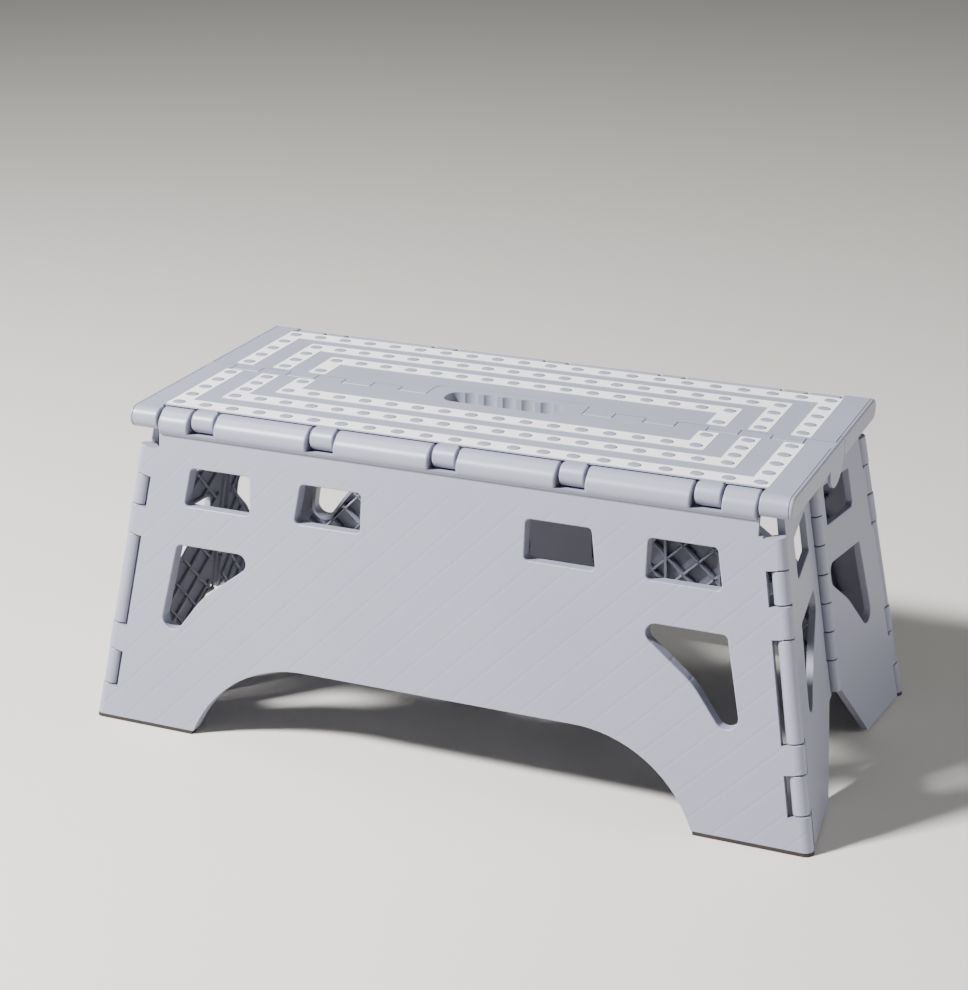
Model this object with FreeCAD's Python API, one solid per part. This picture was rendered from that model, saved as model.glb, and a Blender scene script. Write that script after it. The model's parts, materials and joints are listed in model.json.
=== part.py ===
"""Folding step stool: two top halves, two legs and four end-panel halves, hinged together.

Frame: +X along the stool's length, -Y towards its front, +Z up, origin on the floor
under the middle of the stool. Millimetres.
"""
import FreeCAD, Part

import math
import os

from FreeCAD import Matrix, Vector

# ---- driving dimensions ----------------------------------------------------------------

TOP_HALF_LENGTH = 225.0        # the top runs from -225 to +225 along X
STEP_HEIGHT = 222.0            # floor to the face of the grip strips
STRIP_PROUD = 0.3              # the strips stand this far above the moulding
STRIP_DEEP = 1.2               # and are let this far into it
SKIN = 3.0                     # wall of the top and the legs
RIM_WIDTH = 2.2                # stiffening rim round each window

CENTRE_AXIS_Z = 213.0          # hinge between the two top halves, on the plane y = 0
CENTRE_PIN_RADIUS = 1.75
LEG_AXIS_Y = 96.0              # hinge between a top half and its leg
LEG_AXIS_Z = 214.5
LEG_BARREL_RADIUS = 7.2
LEG_BELLY_AT = (-3.4, 2.2)     # middle of the barrels' swollen side: up the leg, and out from it
LEG_BELLY_RADIUS = 8.0
LEG_BAR_RADIUS = 3.0
RUNNING_FIT = 0.08             # radial clearance of a part turning on a bar or a pin

LEG_SPLAY = math.radians(6.56)
LEG_FACE = 5.8                 # outer face of a leg, out from the plane of its hinge lines
LEG_BACK = -3.2                # back of its rims
FOOT_PAD = 2.5                 # thickness of the rubber feet

APEX_X = 70.0                  # all hinge lines of one end meet in one point above the stool
SIDE_HINGE_AT = (230.8, 100.0)  # a point of the leg-to-end hinge, in the leg's own plane
FOLD_HINGE_AT = (223.1, 113.6)  # a point (x, z) of the hinge between the two end halves
SIDE_KNUCKLE_RADIUS = 5.8
SIDE_CLIP_RADIUS = 5.4
SIDE_BAR_RADIUS = 2.5
FOLD_KNUCKLE_RADIUS = 4.2
FOLD_BORE_RADIUS = 3.45        # wide bore: this pivot is the open one of the linkage
FOLD_PIN_RADIUS = 0.95

PLATE_THICK = 4.7              # end panels, skin and rims together
PLATE_SKIN = 2.4
PLATE_SET_BACK = -2.3          # outer face of an end panel at the folding hinge
PLATE_TURN = math.radians(3.6)  # that face stands proud of the hinge plane towards the leg

TOP_FACE_Z = STEP_HEIGHT - STRIP_PROUD


# ---- small helpers ---------------------------------------------------------------------

def rounded_wire(corners):
    """Closed flat wire through corners (a, b, radius), each corner rounded."""
    ends = []
    for index, (a, b, radius) in enumerate(corners):
        here = Vector(a, b, 0)
        if radius == 0:
            ends.append((here, None, here))
            continue
        before = Vector(*corners[index - 1][:2], 0)
        after = Vector(*corners[(index + 1) % len(corners)][:2], 0)
        to_before = (before - here).normalize()
        to_after = (after - here).normalize()
        half = to_before.getAngle(to_after) / 2
        reach = radius / math.tan(half)
        inward = (to_before + to_after).normalize()
        middle = here + inward * (radius / math.sin(half) - radius)
        ends.append((here + to_before * reach, middle, here + to_after * reach))
    edges = []
    for index, (start, middle, stop) in enumerate(ends):
        if middle is not None:
            edges.append(Part.Arc(start, middle, stop).toShape())
        following = ends[(index + 1) % len(ends)][0]
        if stop.distanceToPoint(following) > 1e-6:
            edges.append(Part.LineSegment(stop, following).toShape())
    return Part.Wire(edges)


def plate(wire, low, high):
    """Flat wire made a plate between two heights of its own frame."""
    solid = Part.Face(wire).extrude(Vector(0, 0, high - low))
    solid.translate(Vector(0, 0, low))
    return solid


def frame(origin, a, b):
    """Matrix that carries local (a, b, out) to the stool's frame."""
    out = a.cross(b)
    return Matrix(a.x, b.x, out.x, origin.x,
                  a.y, b.y, out.y, origin.y,
                  a.z, b.z, out.z, origin.z,
                  0, 0, 0, 1)


def placed(solid, matrix):
    moved = solid.copy()
    moved.transformShape(matrix, True)
    return moved


def box(low, high):
    return Part.makeBox(high[0] - low[0], high[1] - low[1], high[2] - low[2], Vector(*low))


def rod(radius, start, stop, softened=0.0):
    """Round bar between two points, its ends softened where a radius is given."""
    solid = Part.makeCylinder(radius, start.distanceToPoint(stop), start, stop - start)
    if softened:
        rings = [edge for edge in solid.Edges if edge.isClosed()]
        solid = solid.makeFillet(softened, rings)
    return solid


def rod_x(radius, x_low, x_high, y, z, softened=0.0):
    return rod(radius, Vector(x_low, y, z), Vector(x_high, y, z), softened)


def joined(solids):
    whole = solids[0].fuse(solids[1:]) if len(solids) > 1 else solids[0]
    return whole.removeSplitter()


def less(solid, tools):
    return solid.cut(tools) if tools else solid


def on_both_sides(solids):
    """The solids and their images across the plane x = 0."""
    return solids + [solid.mirror(Vector(0, 0, 0), Vector(1, 0, 0)) for solid in solids]


def across(solid):
    """Image across the plane y = 0."""
    return solid.mirror(Vector(0, 0, 0), Vector(0, 1, 0))


def half_turn(solid):
    """The solid turned half round about the stool's upright middle line."""
    turned = solid.copy()
    turned.rotate(Vector(0, 0, 0), Vector(0, 0, 1), 180)
    return turned


def window_edges(solid, height, windows):
    """Edges of a plate's face at one height that lie on its window outlines."""
    boxes = [wire.BoundBox for wire in windows]
    found = []
    for edge in solid.Edges:
        extent = edge.BoundBox
        if abs(extent.ZMin - height) > 1e-4 or abs(extent.ZMax - height) > 1e-4:
            continue
        middle = edge.CenterOfMass
        for area in boxes:
            inside_a = area.XMin - 0.01 < middle.x < area.XMax + 0.01
            inside_b = area.YMin - 0.01 < middle.y < area.YMax + 0.01
            if inside_a and inside_b:
                found.append(edge)
                break
    return found


# ---- frames of the legs and the end panels ---------------------------------------------

YZ = frame(Vector(0, 0, 0), Vector(0, 1, 0), Vector(0, 0, 1))
ALONG = Vector(1, 0, 0)
LEG_SLOPE = Vector(0, math.sin(LEG_SPLAY), math.cos(LEG_SPLAY))
LEG_ORIGIN = Vector(0, -LEG_AXIS_Y - LEG_AXIS_Z * math.tan(LEG_SPLAY), 0)
LEG_FRAME = frame(LEG_ORIGIN, ALONG, LEG_SLOPE)
LEG_TOP_AXIS = LEG_AXIS_Z / math.cos(LEG_SPLAY)

APEX_DISTANCE = LEG_AXIS_Y / math.sin(LEG_SPLAY)
APEX_UP_LEG = LEG_TOP_AXIS + APEX_DISTANCE
APEX = Vector(APEX_X, 0, LEG_AXIS_Z + APEX_DISTANCE * math.cos(LEG_SPLAY))
SIDE_SLANT = (SIDE_HINGE_AT[0] - APEX_X) / (APEX_UP_LEG - SIDE_HINGE_AT[1])


def side_hinge_out(up):
    """Distance of the leg-to-end hinge from the leg's middle line, at a height up the leg."""
    return APEX_X + (APEX_UP_LEG - up) * SIDE_SLANT


def side_hinge_point(up):
    """The same point of the hinge, on the right of a leg, in the leg's frame."""
    return Vector(side_hinge_out(up), up, 0)


def squared_tab(start, stop, inward, depth):
    """Outline of a tab that runs from a hinge's middle line into its plate, cut square to it."""
    return [(start.x, start.y, 0), (stop.x, stop.y, 0),
            (stop.x + inward.x * depth, stop.y + inward.y * depth, 0),
            (start.x + inward.x * depth, start.y + inward.y * depth, 0)]


FOLD_POINT = Vector(FOLD_HINGE_AT[0], 0, FOLD_HINGE_AT[1])
FOLD_UP = (APEX - FOLD_POINT).normalize()
FOLD_FOOT = APEX - FOLD_UP * (APEX.z / FOLD_UP.z)
FOLD_APEX_UP = FOLD_FOOT.distanceToPoint(APEX)
REAR_SIDE_LOW = LEG_FRAME.multVec(side_hinge_point(0))
REAR_SIDE_LOW = Vector(REAR_SIDE_LOW.x, -REAR_SIDE_LOW.y, REAR_SIDE_LOW.z)
REAR_SIDE_UP = (APEX - REAR_SIDE_LOW).normalize()
PANEL_OUT = FOLD_UP.cross(REAR_SIDE_LOW - FOLD_FOOT).normalize() * -1
PANEL_ACROSS = FOLD_UP.cross(PANEL_OUT)
PLATE_ACROSS = PANEL_ACROSS * math.cos(PLATE_TURN) + PANEL_OUT * math.sin(PLATE_TURN)
PLATE_FRAME = frame(FOLD_FOOT + PANEL_OUT * PLATE_SET_BACK, PLATE_ACROSS, FOLD_UP)
PANEL_SPREAD = math.tan(FOLD_UP.getAngle(REAR_SIDE_UP)) / math.cos(PLATE_TURN)


def panel_side(up):
    """Distance across an end panel from its folding hinge to its leg hinge."""
    return (FOLD_APEX_UP - up) * PANEL_SPREAD


def rear_side_point(up_leg):
    """Point of the rear leg's right hinge, from the height up the leg."""
    point = LEG_FRAME.multVec(side_hinge_point(up_leg))
    return Vector(point.x, -point.y, point.z)


def panel_up(up_leg):
    """Height up an end panel of a point of its leg hinge."""
    return (rear_side_point(up_leg) - FOLD_FOOT).dot(FOLD_UP)


def fold_point(up):
    return FOLD_FOOT + FOLD_UP * up


# ---- stations along the hinges ---------------------------------------------------------

HINGE_GAP = 0.75                               # between two neighbours on one hinge
CLIP_SPANS = [(-8.0, 8.0), (77.0, 93.5), (163.5, 180.0)]      # clips of a top half, along X
BARREL_SPANS = [(9.6, 75.4), (95.1, 161.9), (181.6, 203.0)]   # barrels of a leg, along X
CAP_START = 204.3                              # corner caps of the top
SEAM_STEP = 21.25                              # width of one seam tongue
HANDLE_HALF = 55.5                             # half length of the handle tongue
SEAM_GAP = 0.9
TONGUE_REACH = 4.2                             # tongues pass the middle plane by this
SIDE_KNUCKLES = [(0.0, 24.0), (50.5, 69.0), (134.5, 154.5), (176.5, 196.0)]   # up a leg
SIDE_CLIPS = [(24.0, 50.5), (69.0, 134.5), (154.5, 176.5)]
FOLD_STATIONS = [54.0, 76.5, 96.2, 115.9, 135.6, 155.3, 175.0, 203.5]         # up the hinge


# ---- legs ------------------------------------------------------------------------------

LEG_SHOULDER = 196.0
LEG_NECK = 204.3
SLOT_EDGE = 7.6                                # slot wall, in from the side hinge line
ARCH_TOP = 57.3
ARCH_HALF = 182.5
ARCH_RADIUS = 87.5
FOLD_ROOM = 28.0                               # no rims this near the edge: the end panel folds there
FOLD_BACK = -0.4                               # back of what stiffening is left in that room
TAB_BACK = 1.0                                 # back of the tabs and the edge along the side hinge


def mirrored_outline(corners):
    """Corners of the image of an outline across its b axis, in the same turning sense."""
    return [(-a, b, radius) for a, b, radius in reversed(corners)]


def leg_windows():
    """Window outlines of a leg: two rectangles and a curved triangle on each side."""
    inner = [(56.5, 158.5, 3), (103.8, 158.5, 3), (99.7, 185.3, 3), (56.5, 185.3, 3)]
    outer = [(136.5, 158.6, 3), (185.1, 158.6, 3), (180.3, 185.0, 3), (136.5, 185.0, 3)]
    triangle = [(126.6, 131.4, 6.3), (171.0, 97.0, 60), (207.6, 47.2, 7.5), (190.1, 131.4, 3.5)]
    wires = []
    for corners in (inner, outer, triangle):
        wires.append(rounded_wire(corners))
        wires.append(rounded_wire(mirrored_outline(corners)))
    return wires


def leg_outline():
    """Outline of a leg's skin, up to the slots at its sides and above its arch."""
    low = -8.0
    right = [(side_hinge_out(low) - SLOT_EDGE, low, 0),
             (side_hinge_out(LEG_SHOULDER) - SLOT_EDGE, LEG_SHOULDER, 0),
             (LEG_NECK, LEG_SHOULDER, 0),
             (LEG_NECK, LEG_TOP_AXIS - LEG_BARREL_RADIUS - 1.2, 0)]
    return rounded_wire(right + mirrored_outline(right))


def arch_outline(shrink=0.0):
    half = ARCH_HALF + shrink
    radius = ARCH_RADIUS + shrink
    top = ARCH_TOP + shrink
    return rounded_wire([(-half, -60, 0), (half, -60, 0), (half, top, radius), (-half, top, radius)])


def barrel_outline():
    """Section of a leg's top barrels: a round about their axis, swollen outwards and down."""
    belly = Vector(LEG_TOP_AXIS + LEG_BELLY_AT[0], LEG_BELLY_AT[1], 0)
    middle = Vector(LEG_TOP_AXIS, 0, 0)
    line = (belly - middle).normalize()
    side = Vector(-line.y, line.x, 0)
    lean = math.acos((LEG_BARREL_RADIUS - LEG_BELLY_RADIUS) / belly.distanceToPoint(middle))
    normals = [line * math.cos(lean) + side * sign * math.sin(lean) for sign in (1, -1)]
    on_round = [middle + normal * LEG_BARREL_RADIUS for normal in normals]
    on_belly = [belly + normal * LEG_BELLY_RADIUS for normal in normals]
    return Part.Wire([
        Part.Arc(on_round[0], middle - line * LEG_BARREL_RADIUS, on_round[1]).toShape(),
        Part.LineSegment(on_round[1], on_belly[1]).toShape(),
        Part.Arc(on_belly[1], belly + line * LEG_BELLY_RADIUS, on_belly[0]).toShape(),
        Part.LineSegment(on_belly[0], on_round[0]).toShape(),
    ])


def leg_barrel(low, high):
    """One barrel in the leg's frame, its two ends softened."""
    barrel = placed(plate(barrel_outline(), low, high), YZ)
    ends = [edge for edge in barrel.Edges if edge.BoundBox.XLength < 1e-4]
    return barrel.makeFillet(1.3, ends)


def leg_top_flange():
    """Ledge under the clips, which runs on from barrel to barrel."""
    half = BARREL_SPANS[-1][1]
    ledge = placed(plate(barrel_outline(), -half, half), YZ)
    room = box((-half, LEG_TOP_AXIS - 13, LEG_BACK), (half, LEG_TOP_AXIS - LEG_BARREL_RADIUS - 0.6, 15))
    return ledge.common(room)


def leg_moulding():
    """One leg in its own frame: skin, rims, top barrels with their bar, side knuckles."""
    windows = leg_windows()
    skin_low = LEG_FACE - SKIN
    skin = plate(leg_outline(), skin_low, LEG_FACE)
    skin = less(skin, [plate(wire, -20, 20) for wire in windows] + [plate(arch_outline(), -20, 20)])
    skin = skin.makeFillet(0.9, window_edges(skin, LEG_FACE, windows))

    rims = []
    for wire in windows:
        rim = plate(wire.makeOffset2D(RIM_WIDTH), LEG_BACK, skin_low + 0.1)
        rims.append(less(rim, [plate(wire, -20, 20)]))
    arch_rim = plate(arch_outline(RIM_WIDTH), LEG_BACK, skin_low + 0.1)
    arch_rim = less(arch_rim, [plate(arch_outline(), -20, 20)])
    arch_rim = arch_rim.common(plate(leg_outline(), -20, 20))
    rims.append(arch_rim)
    for up in (146.0, 193.0):
        rims.append(box((-196, up, LEG_BACK), (196, up + 2, skin_low + 0.1)))
    for x in (-40, 0, 40, 120, -120):
        rims.append(box((x - 1, ARCH_TOP + 1, LEG_BACK), (x + 1, 194, skin_low + 0.1)))
    for x in (80, -80):
        rims.append(box((x - 1, ARCH_TOP + 1, LEG_BACK), (x + 1, 158, skin_low + 0.1)))
    for sign in (-1, 1):
        near = [(side_hinge_out(210) - FOLD_ROOM, 210, 0), (side_hinge_out(-20) - FOLD_ROOM, -20, 0),
                (300, -20, 0), (300, 210, 0)]
        corners = near if sign > 0 else mirrored_outline(near)
        clear = plate(rounded_wire(corners), LEG_BACK - 1, FOLD_BACK)
        rims = [less(rim, [clear]) for rim in rims]

    edges = []
    for sign in (-1, 1):
        strip = [(side_hinge_out(LEG_SHOULDER) - SLOT_EDGE - 2.4, LEG_SHOULDER, 0),
                 (side_hinge_out(LEG_SHOULDER) - SLOT_EDGE, LEG_SHOULDER, 0),
                 (side_hinge_out(-8) - SLOT_EDGE, -8, 0), (side_hinge_out(-8) - SLOT_EDGE - 2.4, -8, 0)]
        corners = strip if sign > 0 else mirrored_outline(strip)
        edges.append(plate(rounded_wire(corners), TAB_BACK, skin_low + 0.1))

    sides = []
    inward = Vector(-1, -SIDE_SLANT, 0).normalize()
    for low, high in SIDE_KNUCKLES:
        bottom, top = side_hinge_point(low), side_hinge_point(high)
        if low == 0.0:
            bottom = side_hinge_point(-8.0)
        sides.append(rod(SIDE_KNUCKLE_RADIUS, bottom, top, 0.8))
        tab = squared_tab(bottom, top, inward, SLOT_EDGE + 1)
        sides.append(plate(rounded_wire(tab), TAB_BACK, LEG_FACE))
    sides.append(rod(SIDE_BAR_RADIUS, side_hinge_point(10), side_hinge_point(190)))
    sides = on_both_sides(sides)

    barrels = [rod_x(LEG_BAR_RADIUS, -212, 212, LEG_TOP_AXIS, 0), leg_top_flange()]
    neck_low = LEG_TOP_AXIS - LEG_BARREL_RADIUS - 1.6
    for low, high in BARREL_SPANS:
        barrels += on_both_sides([
            leg_barrel(low, high),
            box((low + 1.3, neck_low - 8, LEG_FACE - 6.2), (high - 1.3, LEG_TOP_AXIS, LEG_FACE - 1)),
        ])
    return joined([skin] + rims + edges + sides + barrels)


def leg_front():
    leg = placed(leg_moulding(), LEG_FRAME)
    below = box((-300, -200, -60), (300, 0, FOOT_PAD))
    return leg.cut(below).removeSplitter()


def foot_pad():
    """Rubber pad under the right foot of the front leg, in the stool's frame."""
    outline = [(ARCH_HALF - 3.0, -12, 0), (side_hinge_out(-12), -12, 0), (side_hinge_out(8), 8, 0),
               (ARCH_HALF - 6.5, 8, 0)]
    sole = plate(rounded_wire(outline), -0.4, LEG_FACE)
    sole = sole.fuse([rod(SIDE_KNUCKLE_RADIUS, side_hinge_point(-14), side_hinge_point(8))])
    sole = placed(sole.removeSplitter(), LEG_FRAME)
    return sole.common(box((100, -200, 0), (300, 0, FOOT_PAD)))


# ---- top halves ------------------------------------------------------------------------

SKIN_LOW = TOP_FACE_Z - SKIN
CAP_DEEP = 207.0                               # lower edge of the end skirts
SKIRT = 2.0
RIB_LOW = 210.8
LOBE_RADIUS = 19.0
LOBE_GAP = 0.4
LEG_ROOM = 0.65                                # round a leg's barrels
CAP_REACH = 10.3                               # corner caps reach this far out from the leg hinge
ROOT_RADIUS = 1.8                              # round notches at the roots of the clips
ROOT_Y = -93.2


def along_x(corners, x_low, x_high):
    """Prism along X on a (y, z, radius) outline."""
    return placed(plate(rounded_wire(corners), x_low, x_high), YZ)


def seam_spans(of_front):
    """X spans of the seam tongues of one half, on the right side."""
    spans = []
    for index in range(8):
        high = TOP_HALF_LENGTH - index * SEAM_STEP
        low = max(high - SEAM_STEP, HANDLE_HALF)
        if (index % 2 == 0) == of_front:
            spans.append((low + SEAM_GAP / 2, min(high, TOP_HALF_LENGTH) - SEAM_GAP / 2))
    return spans


def tongue(low, high):
    """Seam tongue of the front half: a block over a barrel round the middle hinge."""
    block = along_x([(-TONGUE_REACH - 3, CENTRE_AXIS_Z, 0), (TONGUE_REACH, CENTRE_AXIS_Z, 0),
                     (TONGUE_REACH, TOP_FACE_Z, 0.6), (-TONGUE_REACH - 3, TOP_FACE_Z, 0)], low, high)
    return [block, rod_x(TONGUE_REACH, low, high, 0, CENTRE_AXIS_Z)]


def grip_outline(corner_x, row_y, leg_low, leg_high):
    """One U-shaped grip band of the front half, given by the middle line of its corner."""
    half = GRIP_WIDTH / 2
    x_out, x_in = corner_x + half, corner_x - half
    return [(-x_out, -row_y - half, 1), (x_out, -row_y - half, 1), (x_out, leg_high, 0.5),
            (x_in, leg_high, 0.5), (x_in, -row_y + half, 0.5), (-x_in, -row_y + half, 0.5),
            (-x_in, leg_high, 0.5), (-x_out, leg_high, 0.5)]


GRIP_WIDTH = 13.2
DOT_RADIUS = 4.5
# name: middle of the corner along X, dots along the row, dots up each leg
GRIP_BANDS = {"outer": (199.2, 21, 4), "middle": (171.0, 19, 3), "inner": (143.4, 16, 1)}
GRIP_ROWS = {"front": {"outer": 83.6, "middle": 58.4, "inner": 34.8},
             "rear": {"outer": 84.6, "middle": 61.9, "inner": 38.6}}
GRIP_END = -7.6                                # the bands stop short of the seam
LAST_DOT = -13.6


def grip_dots(half, band):
    """Centres of the round studs that show through one band, drawn as on the front half."""
    corner_x, in_row, up_leg = GRIP_BANDS[band]
    row_y = GRIP_ROWS[half][band]
    step = 2 * corner_x / (in_row - 1)
    dots = [(-corner_x + step * index, -row_y) for index in range(in_row)]
    rise = (row_y + LAST_DOT) / up_leg
    for index in range(1, up_leg + 1):
        dots += [(sign * corner_x, -row_y + rise * index) for sign in (-1, 1)]
    return dots


def grip_strip(half, band, spread=0.0):
    """Grip strip of a front half, or with a spread the recess that it lies in."""
    corner_x = GRIP_BANDS[band][0]
    corners = grip_outline(corner_x, GRIP_ROWS[half][band], 0, GRIP_END)
    low = TOP_FACE_Z - STRIP_DEEP
    high = STEP_HEIGHT if spread == 0 else STEP_HEIGHT + 1
    strip = plate(rounded_wire(corners), low, high)
    hole = DOT_RADIUS if spread == 0 else DOT_RADIUS - spread
    holes = [Part.makeCylinder(hole, high - low, Vector(x, y, low)) for x, y in grip_dots(half, band)]
    return strip.cut(holes)


def cap_outline(shrink):
    """Section of a corner cap, or one drawn in by a little."""
    front = -LEG_AXIS_Y - CAP_REACH + shrink
    low, high = CAP_DEEP + shrink, TOP_FACE_Z - shrink
    radius = (high - low) / 2 - 0.05
    return [(front, low, radius), (-84, low, 0), (-84, high, 0), (front, high, radius)]


def end_groove():
    """Fine groove that sets the right end skirt off from the top and its corner cap."""
    low_x, high_x = TOP_HALF_LENGTH - SKIRT - 0.8, TOP_HALF_LENGTH - SKIRT - 0.2
    band = along_x([(-120, CAP_DEEP - 5, 0), (-TONGUE_REACH - 1, CAP_DEEP - 5, 0),
                    (-TONGUE_REACH - 1, 240, 0), (-120, 240, 0)], low_x, high_x)
    inside = along_x(cap_outline(0.5), low_x, high_x)
    inside_plate = along_x([(-90, 150, 0), (0, 150, 0), (0, TOP_FACE_Z - 0.5, 0), (-90, TOP_FACE_Z - 0.5, 0)],
                           low_x, high_x)
    return band.cut([inside, inside_plate])


def half_top_base(half):
    """What both top halves share, drawn as the front half: skin, clips, caps and ribs."""
    face_high = TOP_FACE_Z
    skin = box((-TOP_HALF_LENGTH, -LEG_AXIS_Y, SKIN_LOW),
               (TOP_HALF_LENGTH, -TONGUE_REACH - SEAM_GAP, face_high))
    beam = along_x([(-12, RIB_LOW, 0), (-TONGUE_REACH - SEAM_GAP, CENTRE_AXIS_Z - 0.6, 0),
                    (-TONGUE_REACH - SEAM_GAP, SKIN_LOW + 1, 0), (-12, SKIN_LOW + 1, 0)],
                   -TOP_HALF_LENGTH + SKIRT, TOP_HALF_LENGTH - SKIRT)
    wall = box((-TOP_HALF_LENGTH + SKIRT, -87.3, RIB_LOW), (TOP_HALF_LENGTH - SKIRT, -85, SKIN_LOW + 1))
    pieces = [skin, beam, wall]
    for x in range(-200, 201, 40):
        pieces.append(box((x - 1, -86, RIB_LOW), (x + 1, -11, SKIN_LOW + 1)))
    for y in (-60, -36):
        pieces.append(box((-TOP_HALF_LENGTH + 1, y - 1, RIB_LOW), (TOP_HALF_LENGTH - 1, y + 1, SKIN_LOW + 1)))
    solid = joined(pieces)
    solid = less(solid, [rod_x(LEG_BARREL_RADIUS + LEG_ROOM, -300, 300, -LEG_AXIS_Y, LEG_AXIS_Z)])

    clips = []
    spans = CLIP_SPANS + [(-high, -low) for low, high in CLIP_SPANS[1:]]
    for low, high in spans:
        clips.append(rod_x(LEG_BARREL_RADIUS, low, high, -LEG_AXIS_Y, LEG_AXIS_Z, 1.3))
        clips.append(box((low + 0.8, -LEG_AXIS_Y, LEG_AXIS_Z - 3), (high - 0.8, -85.5, face_high)))
    caps = []
    cap = along_x(cap_outline(0), CAP_START, TOP_HALF_LENGTH)
    inner_end = [edge for edge in cap.Edges
                 if edge.BoundBox.XMax < CAP_START + 1e-4 and edge.BoundBox.YMin < -88]
    caps.append(cap.makeFillet(0.9, inner_end))
    skirt = along_x([(-86, CAP_DEEP, 0), (-30.5, CAP_DEEP, 0), (-19.6, CAP_DEEP + 2.3, 0),
                     (-19.6, face_high, 0), (-86, face_high, 0)],
                    TOP_HALF_LENGTH - SKIRT, TOP_HALF_LENGTH)
    caps.append(skirt)
    caps = on_both_sides(caps)
    solid = joined([solid] + clips + caps)

    bores = [rod_x(LEG_BAR_RADIUS + RUNNING_FIT, -212.5, 212.5, -LEG_AXIS_Y, LEG_AXIS_Z)]
    for low, high in spans:
        bores.append(box((low - 1, -LEG_AXIS_Y - 2.6, CAP_DEEP - 3),
                         (high + 1, -LEG_AXIS_Y + 2.6, LEG_AXIS_Z)))
        bores += [Part.makeCylinder(ROOT_RADIUS, 40, Vector(x, ROOT_Y, 195)) for x in (low, high)]
    bores += [Part.makeCylinder(ROOT_RADIUS, 40, Vector(x, ROOT_Y, 195)) for x in (CAP_START, -CAP_START)]
    bores += on_both_sides([end_groove()])
    bores += [grip_strip(half, band, 0.05) for band in GRIP_BANDS]
    return less(solid, bores)


def rounded_end_edges(solid):
    """Softens the long top edges of the two ends."""
    edges = []
    for edge in solid.Edges:
        extent = edge.BoundBox
        at_end = abs(abs(extent.XMin) - TOP_HALF_LENGTH) < 1e-4 and extent.XLength < 1e-4
        at_top = abs(extent.ZMin - TOP_FACE_Z) < 1e-4 and extent.ZLength < 1e-4
        if at_end and at_top and extent.YLength > 40:
            edges.append(edge)
    return solid.makeFillet(1.6, edges)


HANDLE_REACH = 15.4
HANDLE_LOW = 209.5
HANDLE_SLOT = (-41.5, 41.5, -13.3, 7.0)        # x low, x high, y low, y high
GROOVE_STEP = 13.6
GROOVE_COUNT = 5


def handle_tongue():
    """Middle tongue of the front half, with the carrying slot and its finger grooves."""
    tongue_wire = rounded_wire([(-HANDLE_HALF + 0.3, -24, 0), (HANDLE_HALF - 0.3, -24, 0),
                                (HANDLE_HALF - 0.3, HANDLE_REACH, 6.5), (-HANDLE_HALF + 0.3, HANDLE_REACH, 6.5)])
    low_x, high_x, low_y, high_y = HANDLE_SLOT
    slot = plate(rounded_wire([(low_x, low_y, 8), (high_x, low_y, 8), (high_x, high_y, 8),
                               (low_x, high_y, 8)]), HANDLE_LOW - 8, TOP_FACE_Z + 5)
    grooves = []
    for index in range(GROOVE_COUNT):
        x = (index - (GROOVE_COUNT - 1) / 2) * GROOVE_STEP
        grooves.append(Part.makeCylinder(7.6, 25, Vector(x, high_y - 5.9, HANDLE_LOW - 8)))
    slot = slot.fuse(grooves).removeSplitter()
    body = plate(tongue_wire, HANDLE_LOW, TOP_FACE_Z)
    return body, slot


def top_front():
    base = half_top_base("front")
    tongues = []
    for low, high in seam_spans(True):
        tongues += on_both_sides(tongue(low, min(high, TOP_HALF_LENGTH - SKIRT)))
    lobe = along_x([(-24, CAP_DEEP + 0.9, 0), (-15.2, CAP_DEEP + 2.4, 0), (-13.4, 200.2, 3), (-6, 194.9, 4),
                    (0, 190, 0), (30, 190, 0), (30, TOP_FACE_Z, 0), (-24, TOP_FACE_Z, 0)],
                   TOP_HALF_LENGTH - SKIRT, TOP_HALF_LENGTH)
    disc = rod_x(LOBE_RADIUS, TOP_HALF_LENGTH - SKIRT, TOP_HALF_LENGTH, 0, CENTRE_AXIS_Z)
    left_of = box((TOP_HALF_LENGTH - SKIRT, -24, 180), (TOP_HALF_LENGTH, -10, TOP_FACE_Z))
    lobe = lobe.common(disc.fuse(left_of))
    handle, slot = handle_tongue()
    notches = []
    for low, high in seam_spans(False):
        notch = box((low - SEAM_GAP, -TONGUE_REACH - SEAM_GAP, 150), (high + SEAM_GAP, 60, 260))
        notches.append(notch)
    solid = joined([base] + tongues + on_both_sides([lobe]) + [handle])
    bores = on_both_sides([rod_x(CENTRE_PIN_RADIUS, 40, 222, 0, CENTRE_AXIS_Z)])
    keep = box((-HANDLE_HALF + 0.9, -30, 150), (HANDLE_HALF - 0.9, 30, 260))
    bores = [bore.cut(keep) for bore in bores]
    return rounded_end_edges(less(solid, [slot] + bores))


def top_rear():
    """The rear half is drawn as a front half and then turned over to the rear."""
    base = half_top_base("rear")
    tongues = []
    for low, high in seam_spans(False):
        tongues += on_both_sides(tongue(low, high))
    solid = joined([base] + tongues)
    room = [plate(rounded_wire([(-HANDLE_HALF - 0.3, 30, 0), (-HANDLE_HALF - 0.3, -HANDLE_REACH - 0.8, 7),
                                (HANDLE_HALF + 0.3, -HANDLE_REACH - 0.8, 7), (HANDLE_HALF + 0.3, 30, 0)]),
                  150, 260)]
    lobes = [rod_x(LOBE_RADIUS + LOBE_GAP, TOP_HALF_LENGTH - SKIRT - LOBE_GAP, 240, 0, CENTRE_AXIS_Z)]
    bores = [rod_x(CENTRE_PIN_RADIUS + RUNNING_FIT, 50, 230, 0, CENTRE_AXIS_Z)]
    return across(rounded_end_edges(less(solid, room + on_both_sides(lobes + bores))))


# ---- end panels ------------------------------------------------------------------------

PANEL_TOP = 203.0
PANEL_FOOT = 1.8
PANEL_ARCH = 51.6


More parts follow.
